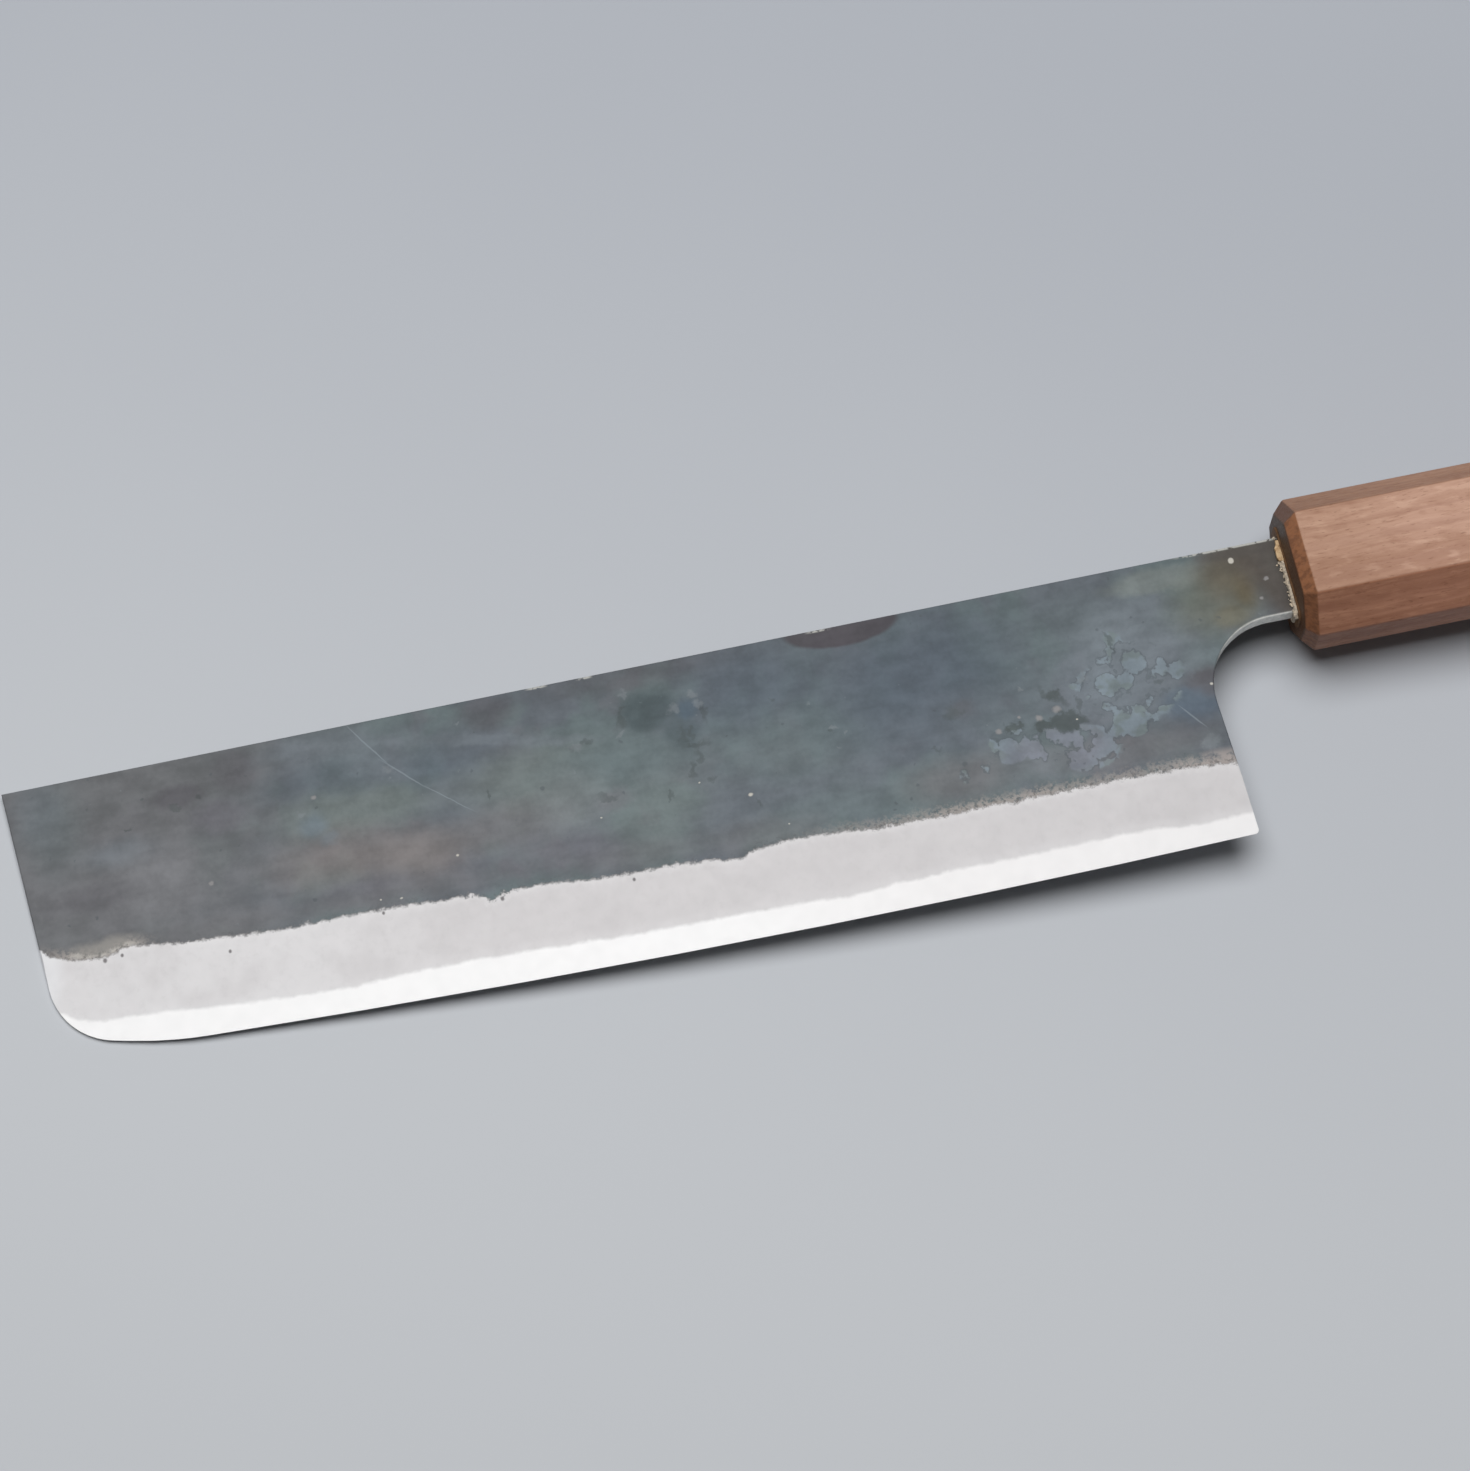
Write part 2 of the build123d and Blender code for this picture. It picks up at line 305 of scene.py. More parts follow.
# Its zones: along and down, half the length and depth, the softness, the tone and how strong it is
zones = (
    (14, 22, 7, 2.6, 0.6, soot, 0.45), (30, 7, 4.4, 2.2, 0.5, soot, 0.8), (40, 4, 4.0, 4.2, 0.5, soot, 0.5),
    (37, 12, 4.4, 3.0, 0.6, violet, 0.7), (19, 15, 6.0, 2.4, 0.7, pale, 0.5),
    (8, 8, 5.0, 8.0, 0.7, green, 0.4), (55, 3, 9.0, 3.0, 0.6, pale, 0.7), (59, 9, 14, 3.4, 0.6, blue, 0.45),
    (60, 16, 13, 4.0, 0.6, moss, 0.9), (56, 23.8, 11, 4.6, 0.8, sand, 0.68),
    (70, 26, 8.0, 4.6, 0.8, sand, 0.7), (58, 30.5, 9.0, 2.4, 0.6, violet, 0.7),
    (52.5, 17, 2.4, 2.2, 0.6, seen(109, 121, 130), 0.6), (55, 20, 1.6, 1.0, 0.6, seen(112, 122, 129), 0.5),
    (77, 10, 9.0, 3.8, 0.6, blue, 0.6), (92, 16, 13, 5.4, 0.6, moss, 0.8),
    (108, 17, 13, 5.0, 0.6, green, 0.9), (86, 24, 10, 4.0, 0.6, sand, 0.35),
    (85, 3, 5.0, 3.2, 0.5, soot, 0.6), (111, 1, 17, 3.0, 0.6, soot, 0.5),
    (104, 23, 3.0, 2.0, 0.5, violet, 0.6), (92, 31, 14, 3.6, 0.6, violet, 0.6),
    (112, 27, 9.0, 6.0, 0.7, moss, 0.5), (112.5, 8.5, 4.8, 3.4, 0.35, night, 0.9),
    (118, 13, 3.0, 3.4, 0.4, night, 0.7), (119.4, 9.6, 2.0, 1.6, 0.5, seen(88, 103, 115), 0.8),
    (131, 9, 11, 8.0, 0.7, blue, 0.7), (136, 20, 15, 6.0, 0.7, green, 0.7),
    (126, 29, 8.0, 4.0, 0.6, slate, 0.6), (142, 33, 14, 4.0, 0.6, green, 0.6),
    (161, 13, 17, 12, 0.7, seen(86, 95, 104), 0.85), (186, 9, 12, 6.0, 0.7, green, 0.4),
    (201, 17, 11, 8.0, 0.7, pale, 0.5), (205.5, 26.5, 5.6, 3.4, 0.5, seen(84, 95, 107), 0.8),
    (207, 22.6, 3.0, 1.4, 0.6, soot, 0.6), (205, 33, 5.0, 3.4, 0.7, soot, 0.4),
    (204.5, 3.6, 9.4, 2.4, 0.35, seen(124, 131, 129), 0.75), (166, 19.8, 2.4, 1.7, 0.5, soot, 0.6),
    (169, 30, 8.0, 5.0, 0.7, slate, 0.5), (180, 21, 20, 5, 0.7, slate, 0.5),
    (193, 33, 10, 3.0, 0.6, ash, 0.6), (163, 32, 9, 4.0, 0.6, ash, 0.7),
    (26, 22, 6.0, 6.5, 0.7, seen(119, 120, 123), 0.7), (191, 19, 7.0, 8.0, 0.7, seen(121, 130, 137), 0.5),
    (97, 22, 6.0, 5.0, 0.7, seen(120, 126, 127), 0.6), (209, 23.5, 3.2, 2.8, 0.5, soot, 0.75),
    (36, 32.0, 14, 2.6, 0.7, ash, 0.6), (66, 32.5, 14, 2.2, 0.7, ash, 0.5),
    (6, 4, 4.0, 6.0, 0.7, pale, 0.4), (106, 34, 9.0, 2.6, 0.7, ash, 0.5),
    (127, 34.5, 10, 2.8, 0.7, ash, 0.5), (197, 12, 7.0, 5.0, 0.7, seen(118, 126, 132), 0.5),
    (66, 7, 6.0, 4.0, 0.7, pale, 0.55), (79, 7, 5.0, 3.4, 0.7, slate, 0.6),
    (180, 32, 6.0, 3.0, 0.7, seen(121, 123, 128), 0.5),
)
for *where, tone, strength in zones:
    skin = over(skin, tone, patch(torn, *where) * strength)

# A pale streak by the dark blotch, and a brown half-moon at the spine
skin = over(skin, pale, scratch(torn, (70, 5), (102, 11.5), 1.1) * 0.5)
half_moon = patch(shifted(flat_spot, ragged, 0.8), 148.5, 0.0, 10.2, 4.0, 0.09)
skin = over(skin, seen(78, 73, 77), half_moon * 0.85)

# Where the skin has flaked, near the heel: pale rounded chips with dark rims
flaking = patches(torn, (
    (165.5, 31, 2.4, 1.8, 0.6), (173, 27.8, 3.4, 2.8, 0.4), (179, 29, 3.8, 2.8, 0.4),
    (185.5, 31, 5.0, 3.6, 0.4), (194, 28, 3.4, 2.3, 0.4), (196, 21, 7.0, 6.0, 0.5),
    (194, 15.5, 1.8, 3.4, 0.5), (189, 19.5, 3.2, 1.8, 0.5),
))
flake_place, flake_size = shifted(spot, frayed, 0.75), 3.8
flake = 0.880 - cells(flake_place, flake_size) * 0.5
flake = flake + waver(flake_place, 1.6, 0.40) + flaking * 0.09
flaked = ease(flaking, 0.05, 0.3)
chips = ease(flake, 0.640, 0.712) * flaked
rims = ease(flake, 0.615, 0.655) * ease(flake, 0.685, 0.660) * flaked
chip_tone = over(seen(124, 136, 144), seen(113, 124, 125), ease(cloud(spot, 3.4, 2, 0.5), 0.46, 0.58))
chip_tone = over(chip_tone, seen(121, 123, 134), patch(torn, 180, 30.5, 9.0, 5.0, 0.4) * 0.8)
skin = over(skin, chip_tone, chips * 0.75)
skin = over(skin, seen(82, 88, 92), rims * 0.5)

# Dark gnawed hollows, deep ones by the chips and faint ones all along, and bits of skin that stand pale
gnawed = shifted(shifted(flat_spot, cloud(spot, 2.6, 3, 0.6, out=1), 3.6), frayed, 1.8)
deep_hollows = patches(gnawed, (
    (183, 25.6, 3.4, 1.7, 0.2), (179.5, 25.8, 2.0, 1.0, 0.2), (174, 24.9, 1.9, 0.9, 0.3),
    (181.8, 20.4, 1.2, 1.2, 0.4),
))
long_hollow = scratch(gnawed, (179.4, 18.8), (183.4, 22.6), 0.6)
faint_hollows = patches(gnawed, (
    (193.5, 12.8, 0.4, 1.8, 0.4), (185.6, 23.2, 0.5, 1.4, 0.4), (164.5, 20, 1.5, 1.0, 0.5),
    (200, 22.2, 0.7, 0.7, 0.4), (120, 18.2, 0.5, 1.7, 0.5), (118.7, 20.7, 0.6, 1.2, 0.5),
    (119.6, 16.2, 1.9, 0.5, 0.5), (121.8, 11, 0.5, 1.5, 0.5), (117.6, 14.2, 0.7, 1.5, 0.6),
    (119.2, 14.2, 0.5, 0.8, 0.5), (121.4, 23, 1.0, 0.5, 0.5), (101.4, 12, 1.1, 0.5, 0.5),
    (107.7, 9, 0.7, 1.7, 0.6), (103, 22.6, 1.3, 0.6, 0.5), (113.5, 24.6, 0.5, 0.5, 0.4),
    (134, 11.2, 0.5, 0.4, 0.4), (128.6, 29, 0.3, 1.2, 0.5), (143, 19, 0.7, 0.4, 0.4),
    (99, 13, 0.4, 0.6, 0.4), (83.5, 18, 0.3, 0.8, 0.4), (160, 26, 0.6, 0.4, 0.5), (108, 7.5, 0.8, 0.5, 0.5),
    (33.6, 7.4, 0.5, 0.5, 0.5), (20.8, 10.8, 0.8, 0.3, 0.5), (29.4, 8.6, 0.9, 0.5, 0.5),
))
hollow = largest([deep_hollows, long_hollow * 0.7, faint_hollows * 0.6])
skin = over(skin, seen(73, 79, 79), hollow * 0.76)
lifted = patches(gnawed, (
    (109, 4.6, 0.7, 0.6, 0.5), (116.9, 9.2, 1.0, 0.8, 0.5), (107.2, 11.8, 0.6, 0.5, 0.5),
    (120.4, 7.0, 0.8, 0.6, 0.5), (121.4, 9.0, 0.5, 1.0, 0.5), (99.6, 12.6, 0.9, 0.9, 0.6),
    (176.6, 18.6, 0.4, 0.4, 0.5), (187.2, 18.4, 0.8, 0.7, 0.5), (50.6, 14.4, 0.8, 0.5, 0.5),
    (66.5, 9.6, 0.9, 0.5, 0.6), (206.2, 34.6, 1.3, 1.2, 0.5), (143.4, 18.2, 0.7, 0.4, 0.5),
))
skin = over(skin, seen(124, 130, 134), lifted * 0.5)

# The neck, tempered straw and brown by the torch, with a green tinge by the notch
neck_torn = shifted(neck_spot, ragged, 1.6)
skin = over(skin, seen(100, 103, 93), patch(neck_torn, 214, 9.5, 8.0, 6.0, 0.6) * 0.75)
skin = over(skin, seen(98, 91, 78), patch(neck_torn, 216.5, 4.5, 4.6, 5.0, 0.7) * 0.8)
straw, straw_low = patch(neck_torn, 218.6, 9.2, 1.7, 3.0, 0.8), patch(neck_torn, 215.6, 12.6, 2.4, 1.8, 0.8)
skin = over(skin, seen(97, 87, 66), largest([straw, straw_low * 0.8]) * 0.62)
skin = over(skin, seen(84, 77, 71), ease(along + rise * 0.5, 213, 219) * 0.85)
skin = over(skin, seen(84, 80, 76), patch(neck_torn, 221, 0.8, 8.0, 1.7, 0.5) * 0.85)
skin = over(skin, seen(113, 113, 102), patch(neck_torn, 215.5, 13.2, 3.0, 1.4, 0.6) * 0.6)

# Fine mottle and streaks along the blade, darker towards the spine, and dark and pale flecks
streak = joined(along * 0.3, depth, out + left * sides_apart)
mottle = cloud(spot, 4.6, 2, 0.45) * 0.5 + cloud(streak, 1.8, 2, 0.4) * 0.3
mottle = mottle + cloud(shifted(spot, frayed, 1), 0.8, 2, 0.5) * 0.2
shine = ease(mottle, 0.28, 0.72, 0.82, 1.20) * ease(depth, 2, 26, 0.87, 1.0)
skin = tinted(skin, shine, shine, shine)
dark_apart, pale_apart = 2.8, 3.7
dark_fleck = cells(shifted(spot, frayed, 1.4), dark_apart) * dark_apart + cloud(spot, 7, 2) * 1.6
skin = over(skin, seen(78, 83, 87), ease(dark_fleck, 1.02, 0.80) * 0.5)
pale_fleck = cells(shifted(spot, frayed, 1.9), pale_apart, 0.9) * pale_apart + cloud(spot, 11, 2) * 1.6
skin = over(skin, seen(122, 129, 133), ease(pale_fleck, 1.05, 0.80) * 0.45)

# Scratches, dull specks and bright ones
bent_spot = shifted(flat_spot, ragged, 0.6)
scratches = largest([scratch(bent_spot, *where) for where in (
    ((60.8, 0), (67, 9), 0.13), ((66, 8), (72.5, 14), 0.14), ((72, 13.5), (80, 20), 0.10),
    ((202.6, 27.0), (206, 31.4), 0.13),
)])
skin = over(skin, seen(134, 144, 150), scratches * 0.5)
dull = specks(shifted(flat_spot, frayed, 0.9), (
    (181.8, 23.1, 0.62), (178.4, 24.1, 0.56), (171.2, 25.0, 0.5), (175.2, 23.2, 0.3), (33.8, 23.6, 0.4),
    (53.2, 12, 0.4), (222.8, 7.2, 0.4), (221.2, 10.6, 0.3),
), 0.9)
skin = over(skin, seen(140, 138, 138), dull * 0.8)
bright = specks(shifted(flat_spot, frayed, 0.5), (
    (127.2, 27.2, 0.36), (76, 27.4, 0.26), (61.8, 32.5, 0.18), (65.3, 32.9, 0.2), (101.3, 26, 0.16),
    (119, 23.3, 0.16), (132.6, 33.7, 0.16), (184.8, 25.6, 0.18),
), 0.8)
bright = largest([bright, patches(shifted(neck_spot, frayed, 0.3), (
    (217.7, 2.7, 0.46, 0.54, 0.3), (208.9, 24.1, 0.28, 0.22, 0.5),
))])
skin = over(skin, seen(198, 194, 184), bright * 0.85)

# Ground bevel: satin iron, then the bright steel, whose weld wanders up and down a little
fine_fray = ease(along, 110, 150, 0.8, 1.3)
fray = waver(spot, 6, 0.9) + waver(spot, 1.3, 1.5, 3, 0.6) + waver(spot, 0.3, fine_fray, 2, 0.7)
above_line = drawn(along, scale_line) - depth + fray * (1 + patch(neck_spot, 79.5, 36, 5.0, 4.0, 0.3))
bare = ease(above_line, 0.36, -0.32)
weld = waver(joined(along, 0, left * sides_apart), 6, 1.3, 3, 0.55)
above_steel = drawn(along, steel_line) - depth + weld
steel = ease(above_steel + waver(spot, 1.6, 0.8, 3, 0.6), 0.5, -0.4)
haze = largest([ease(above_line, -1.5, -0.1), ease(above_steel, 2.4, 0.3) * 0.7])
iron = over(seen(215, 213, 213), seen(207, 204, 204), ease(along, 40, 90))
iron = over(iron, seen(201, 198, 198), ease(cloud(spot, 9, 3), 0.44, 0.66) * 0.5)
iron = over(iron, seen(222, 220, 220), haze * 0.4)
iron = over(iron, seen(190, 187, 187), ease(cloud(spot, 1.2, 3, 0.6), 0.48, 0.72) * 0.16)
iron = over(iron, seen(226, 226, 227), patch(flat_spot, 3.5, 32, 3.0, 7.0, 0.5) * 0.7)
bevel = over(iron, over(seen(242, 241, 240), seen(238, 236, 235), ease(along, 110, 160)), steel)
pits = specks(flat_spot, (
    (14, 33.3, 0.34), (17.0, 33.0, 0.26), (35.2, 36.1, 0.26), (61.9, 34.9, 0.24), (104.8, 37.9, 0.26),
    (82.2, 36.6, 0.3),
), 1.2)
bevel = over(bevel, seen(96, 92, 92), pits * 0.8)

# The last of the skin above the bevel is grained with beige, at the front end and along the heel's half,
# with a pale glow near the front end and a wedge at the heel, and burnt specks and a thin grey rim
fringe_place = largest([
    patches(neck_spot, ((168, 37, 14, 12, 0.4), (205, 37, 7, 12, 0.3), (13, 31, 8.0, 5.0, 0.5))),
    patch(neck_spot, 180, 37, 40, 12, 0.3) * 0.7,
])
fringe_grain = ease(cloud(spot, 0.7, 3, 0.7) + ease(above_line, 2.0, 0.0) * 0.12, 0.42, 0.60)
skin = over(skin, seen(160, 153, 148), ease(above_line, 2.6, 0.3) * fringe_grain * fringe_place * 0.85)
glow_tone = over(seen(148, 145, 140), seen(206, 202, 195), ease(above_line + waver(spot, 2.2, 2.4), 1.1, 0.1))
skin = over(skin, glow_tone, patch(torn, 14, 31.2, 5.6, 1.7, 0.6) * left * 0.7)
wedge = patch(neck_spot, 207, 38, 6.0, 1.8, 0.5) * ease(cloud(spot, 1.5, 3, 0.6), 0.3, 0.55)
skin = over(skin, seen(160, 152, 148), wedge * 0.8)
burnt = ease(above_line, 1.8, 0.2) * ease(cloud(spot, 0.8, 2, 0.6), 0.53, 0.62)
skin = over(skin, seen(80, 79, 79), burnt * ease(fringe_place, 0, 1, 0.35, 0.6))
skin = over(skin, seen(116, 113, 112), ease(above_line, 0.5, 0.1) * 0.5)

# Rubbed bare, with a painted highlight on the neck's underside: the rim of the notch and the underside, and
# worn places along the spine's corner
notch_along = (notch_middle - along).at_least(0)
notch_down = (neck_deep + notch_round - depth).at_least(0)
notch_away = length(joined(notch_along, notch_down, 0)) - notch_round
rim = ease(notch_away - ease(depth, 14.5, 18, 0.22, 0.0), 0.16, -0.16)
under = ease(facing(place, to_spine), -0.25, -0.6)
rubbed = largest([rim, under]) * ease(depth, 21.5, 16.5) * ease(along, 208, 210)
# Painted highlight: the neck's underside, facing away from the lamps, is near white, and the rim of the
# notch, facing the light, is greyer
rubbed_tone_and_painted_highlight = over(seen(190, 190, 183), seen(248, 247, 240), under)
colour = over(skin, bevel, bare)
colour = over(colour, rubbed_tone_and_painted_highlight, rubbed * ease(cloud(spot, 1.1, 3), 0.3, 0.6, 0.75, 0.95))
worn_place = patches(neck_spot, (
    (94.5, 0, 1.6, 1.0, 0.5), (103, 0, 1.2, 1.0, 0.5), (144.5, 0, 1.8, 1.0, 0.5), (218, 0, 9.0, 1.0, 0.3),
))
on_spine = ease(facing(place, to_spine), 0.86, 0.99)
worn = ease(depth, 0.62, 0.3) * ease(cloud(spot, 0.8, 3, 0.6), 0.38, 0.50) * worn_place * (1 - on_spine)
colour = over(colour, seen(186, 186, 180), worn * 0.9)
colour.feed(blade_shader, "Base Color")
metal = largest([bare, rubbed])
ease(metal, 0, 1, 0.12, 0.9).feed(blade_shader, "Metallic")
gloss = ease(metal, 0, 1, 0.55, 0.5) - rubbed * 0.12 + waver(spot, 1.8, 0.12, 3)
gloss.feed(blade_shader, "Roughness")

# Height of the skin's grain, chips and hollows, and of the bevel below it, in shares of the bump's depth
skin_relief = cloud(spot, 1.6, 2, 0.5) * 0.2 + cloud(spot, 6, 2) * 0.9
skin_relief = skin_relief + chips * 0.25 - hollow * 0.35 - bright * 0.2
relief = (1 - bare) * skin_relief + bare * (-0.25 - pits * 0.4) - scratches * 0.15
bump_deep = 0.12 * mm
bump = relief.node("ShaderNodeBump", {"Strength": 0.35, "Distance": bump_deep, "Height": relief})
bump.feed(blade_shader, "Normal")
for name in ("core_steel", "cladding_left", "cladding_right"):
    frame["nodes"][name].data.materials.clear()
    frame["nodes"][name].data.materials.append(blade_finish)

# The handle: one length of walnut, planed to eight flats along the grain, its ends chamfered and all its
# edges eased with fine paper, then oiled. Its mortise takes the liner, and the liner the tapered tang.
handle_deep, handle_thick = 26.2, 21.0
side_flat, edge_flat = 15.3, 7.0
end_chamfer, eased = 2.1, 0.35
neck_thick, slot_gap = 3.65, 0.12
edge_wall, side_wall, mortise_round = 1.9, 0.95, 1.6
butt_cover, overcut = 32.0, 0.2
slot_deep, slot_thick = neck_deep + 2 * slot_gap, neck_thick + 2 * slot_gap
mortise_deep, mortise_thick = slot_deep + 2 * edge_wall, slot_thick + 2 * side_wall
mortise_far = handle_front + handle_long - butt_cover


def choose_edges(piece, wanted):
    """Selects the edges whose two ends pass together, and nothing else, with the piece open for editing."""
    bpy.ops.object.mode_set(mode="EDIT")
    bpy.ops.mesh.select_mode(type="EDGE")
    bpy.ops.mesh.select_all(action="DESELECT")
    bpy.ops.object.mode_set(mode="OBJECT")
    for edge in piece.data.edges:
        edge.select = wanted(*[piece.data.vertices[number].co for number in edge.vertices])
    bpy.ops.object.mode_set(mode="EDIT")


def new_block(name, middle, size):
    """A block of that size in millimetres, in the knife's axes, ready to be worked on."""
    bpy.ops.object.select_all(action="DESELECT")
    bpy.ops.mesh.primitive_cube_add(size=1)
    block = bpy.context.object
    block.name = name
    block.location, block.scale = middle, size
    bpy.ops.object.transform_apply(location=True, rotation=True, scale=True)
    return block


def on_axis(near, far, deep, thick):
    """The middle and the size of a block round the handle's axis, from near to far along the knife."""
    return ((near + far) / 2, handle_axis, 0), (far - near, deep, thick)


def rounded_block(name, middle, size):
    """A block with its four long edges rounded, as the mortise and the liner in it are."""
    block = new_block(name, middle, size)
    choose_edges(block, lambda one, two: abs(one.x - two.x) > size[0] / 2)
    bpy.ops.mesh.bevel(offset=mortise_round, segments=5, affect="EDGES")
    bpy.ops.object.mode_set(mode="OBJECT")
    return block


def cut_out(piece, cutter):
    """Takes the cutter's room out of the piece, and throws the cutter away."""
    hole = piece.modifiers.new("hole", "BOOLEAN")
    hole.operation, hole.solver, hole.object = "DIFFERENCE", "EXACT", cutter
    bpy.ops.object.select_all(action="DESELECT")
    bpy.context.view_layer.objects.active = piece
    piece.select_set(True)
    bpy.ops.object.modifier_apply(modifier="hole")
    bpy.data.objects.remove(cutter)


def lay_down(piece, angle=30):
    """Smooths the piece's edges up to that angle, and lays it down with the knife, in metres."""
    bpy.ops.object.select_all(action="DESELECT")
    bpy.context.view_layer.objects.active = piece
    piece.select_set(True)
    bpy.ops.object.shade_smooth_by_angle(angle=radians(angle))
    piece.matrix_world = knife_lies @ Matrix.Scale(mm, 4)
    bpy.ops.object.transform_apply(location=True, rotation=True, scale=True)


def dimmed(colour, where, red, green, blue):
    """The colour with these shares of its parts taken away where the mask is 1."""
    return tinted(colour, 1 - where * red, 1 - where * green, 1 - where * blue)


# The block is drawn squashed, so that an even cut along its edges comes out as the uneven eight flats
deep_cut, thick_cut = (handle_deep - side_flat) / 2, (handle_thick - edge_flat) / 2
squashed = (handle_long, handle_deep / deep_cut, handle_thick / thick_cut)
handle = new_block("walnut_handle", (0, 0, 0), squashed)
choose_edges(handle, lambda one, two: abs(one.x - two.x) > 1)
bpy.ops.mesh.bevel(offset=1.0, segments=1, affect="EDGES")
bpy.ops.mesh.select_all(action="SELECT")
bpy.ops.transform.resize(value=(1, deep_cut, thick_cut), center_override=(0, 0, 0))
near_end = handle_long / 2 - 0.1
choose_edges(handle, lambda one, two: min(abs(one.x), abs(two.x)) > near_end and abs(one.x - two.x) < 0.1)
bpy.ops.mesh.bevel(offset=end_chamfer, segments=1, affect="EDGES")
bpy.ops.mesh.select_all(action="SELECT")
bpy.ops.mesh.bevel(offset=eased, segments=3, affect="EDGES")
bpy.ops.mesh.select_all(action="SELECT")
bpy.ops.transform.translate(value=(handle_front + handle_long / 2, handle_axis, 0))
bpy.ops.object.mode_set(mode="OBJECT")
mortise_room = on_axis(handle_front - overcut, mortise_far, mortise_deep, mortise_thick)
cut_out(handle, rounded_block("mortise", *mortise_room))
even = handle.modifiers.new("even_flats", "WEIGHTED_NORMAL")
even.keep_sharp = True
lay_down(handle)
bpy.ops.object.modifier_apply(modifier="even_flats")

# Walnut: growth layers, a ripple and fine fibres, with long dark pores and broad bands along the grain
wood_finish, wood_shader, place = new_finish("oiled_walnut", Specular_IOR_Level=0.45)
fibre_along, fibre_up, fibre_out = split(in_knife(place))
fibre = joined(fibre_along * 0.05, fibre_up, fibre_out)
wander = cloud(joined(fibre_along * 0.03, fibre_up * 0.1, fibre_out * 0.1), 1, 2, out=1)
bent = shifted(fibre, wander, 4)
across_layers = (0.0, 0.45, 0.89)
figure = cloud(joined(dot(bent, across_layers), 0, fibre_along * 0.012), 1.9, 3, 0.6)
wood = over(seen(164, 126, 106), seen(190, 152, 132), ease(figure, 0.34, 0.66))
ripple = joined(fibre_along * 0.28 + fibre_up * 0.25, fibre_up * 0.75, fibre_out * 0.75)
ripple = cloud(ripple, 1.1, 3, 0.55)
wood = over(wood, seen(200, 163, 142), ease(ripple, 0.52, 0.70) * 0.55)
wood = over(wood, seen(150, 111, 92), ease(ripple, 0.46, 0.30) * 0.45)
fine = cloud(bent, 0.5, 4, 0.65)
wood = over(wood, seen(144, 104, 85), ease(fine, 0.50, 0.72) * 0.4)
pores = cloud(joined(fibre_along * 0.22, fibre_up, fibre_out), 0.34, 2, 0.55)
wood = over(wood, seen(104, 70, 54), ease(pores, 0.60, 0.72) * 0.4)
band = cloud(joined(fibre_along * 0.008, fibre_up, fibre_out), 2.6, 2, 0.5)
wood = over(wood, seen(156, 118, 101), ease(band, 0.52, 0.62) * 0.35)

# Painted shade on the flats by the way they face: redder and darker where they face the edge, darker towards
# the spine and underneath.
# The wood is darker near the mouth too, and the chamfers and the end grain are dark brown.
to_edge = -to_spine
wood = dimmed(wood, ease(facing(place, to_edge), 0.25, 0.65), 0.10, 0.29, 0.40)
wood = dimmed(wood, ease(facing(place, to_spine), 0.25, 0.65), 0.33, 0.40, 0.48)
wood = dimmed(wood, ease(facing(place, to_edge), 0.80, 0.95), 0.13, 0.15, 0.14)
wood = dimmed(wood, ease(fibre_along, 252, 232), 0.14, 0.16, 0.20)
# Painted shade on the flats that face down to the table
painted_shade_below = ease(facing(place, to_left), -0.2, -0.5, 1.0, 0.66)
wood = tinted(wood, painted_shade_below, painted_shade_below, painted_shade_below)
to_end = abs(facing(place, to_butt))
chamfer_tone = over(seen(132, 85, 54), seen(104, 64, 38), ease(cloud(bent, 0.9, 3, 0.6), 0.40, 0.62))
chamfer_tone = over(chamfer_tone, seen(83, 57, 45), ease(facing(place, to_spine), 0.2, 0.5))
wood = over(wood, chamfer_tone, ease(to_end, 0.35, 0.65) * 0.88)
end_tone = over(seen(80, 55, 36), seen(66, 53, 41), ease(fibre_up, -5, 0))
wood = over(wood, end_tone, ease(to_end, 0.78, 0.96) * 0.92)
wood.feed(wood_shader, "Base Color")
ease(pores, 0.3, 0.7, 0.46, 0.62).feed(wood_shader, "Roughness")
grain = pores * -0.6 + ripple * 0.4
bump = grain.node("ShaderNodeBump", {"Strength": 0.25, "Distance": bump_deep, "Height": grain})
bump.feed(wood_shader, "Normal")
handle.data.materials.append(wood_finish)
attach(handle, "root")
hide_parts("handle")

# The liner: pale softwood packed round the tang in the handle's mortise, with a slot that tapers as the
# tang does. Its end stands a little out of the handle, and is stained dark but for one bare splinter.
liner_proud, liner_loose, end_wall = 0.3, 0.04, 8.0
tang_end_deep, tang_end_thick = 6.0, 1.8
soft_edge = 0.14
liner_front = handle_front - liner_proud
liner_room = on_axis(liner_front, mortise_far, mortise_deep - liner_loose, mortise_thick - liner_loose)
liner = rounded_block("pine_liner", *liner_room)
choose_edges(liner, lambda one, two: max(one.x, two.x) < handle_front)
bpy.ops.mesh.bevel(offset=soft_edge, segments=2, affect="EDGES")
bpy.ops.object.mode_set(mode="OBJECT")
slot = new_block("slot", *on_axis(liner_front - overcut / 2, mortise_far - end_wall, slot_deep, slot_thick))
choose_edges(slot, lambda one, two: min(one.x, two.x) > handle_front)
tapered = (1, (tang_end_deep + 2 * slot_gap) / slot_deep, (tang_end_thick + 2 * slot_gap) / slot_thick)
bpy.ops.transform.resize(value=tapered, center_override=(0, handle_axis, 0))
bpy.ops.object.mode_set(mode="OBJECT")
cut_out(liner, slot)
lay_down(liner)
liner_finish, liner_shader, place = new_finish("stained_pine", Roughness=0.7, Specular_IOR_Level=0.3)
liner_along, liner_up, liner_out = split(in_knife(place))
liner_grain = cloud(joined(liner_along * 0.2, liner_up, liner_out), 0.8, 4, 0.65)
pine = over(seen(206, 158, 106), seen(150, 112, 78), ease(liner_grain, 0.42, 0.66))
pine = over(pine, seen(72, 52, 40), ease(liner_along, 227.6, 226.9) * 0.85)
pine.feed(liner_shader, "Base Color")
liner.data.materials.append(liner_finish)
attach(liner, "root")
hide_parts("tang_liner")

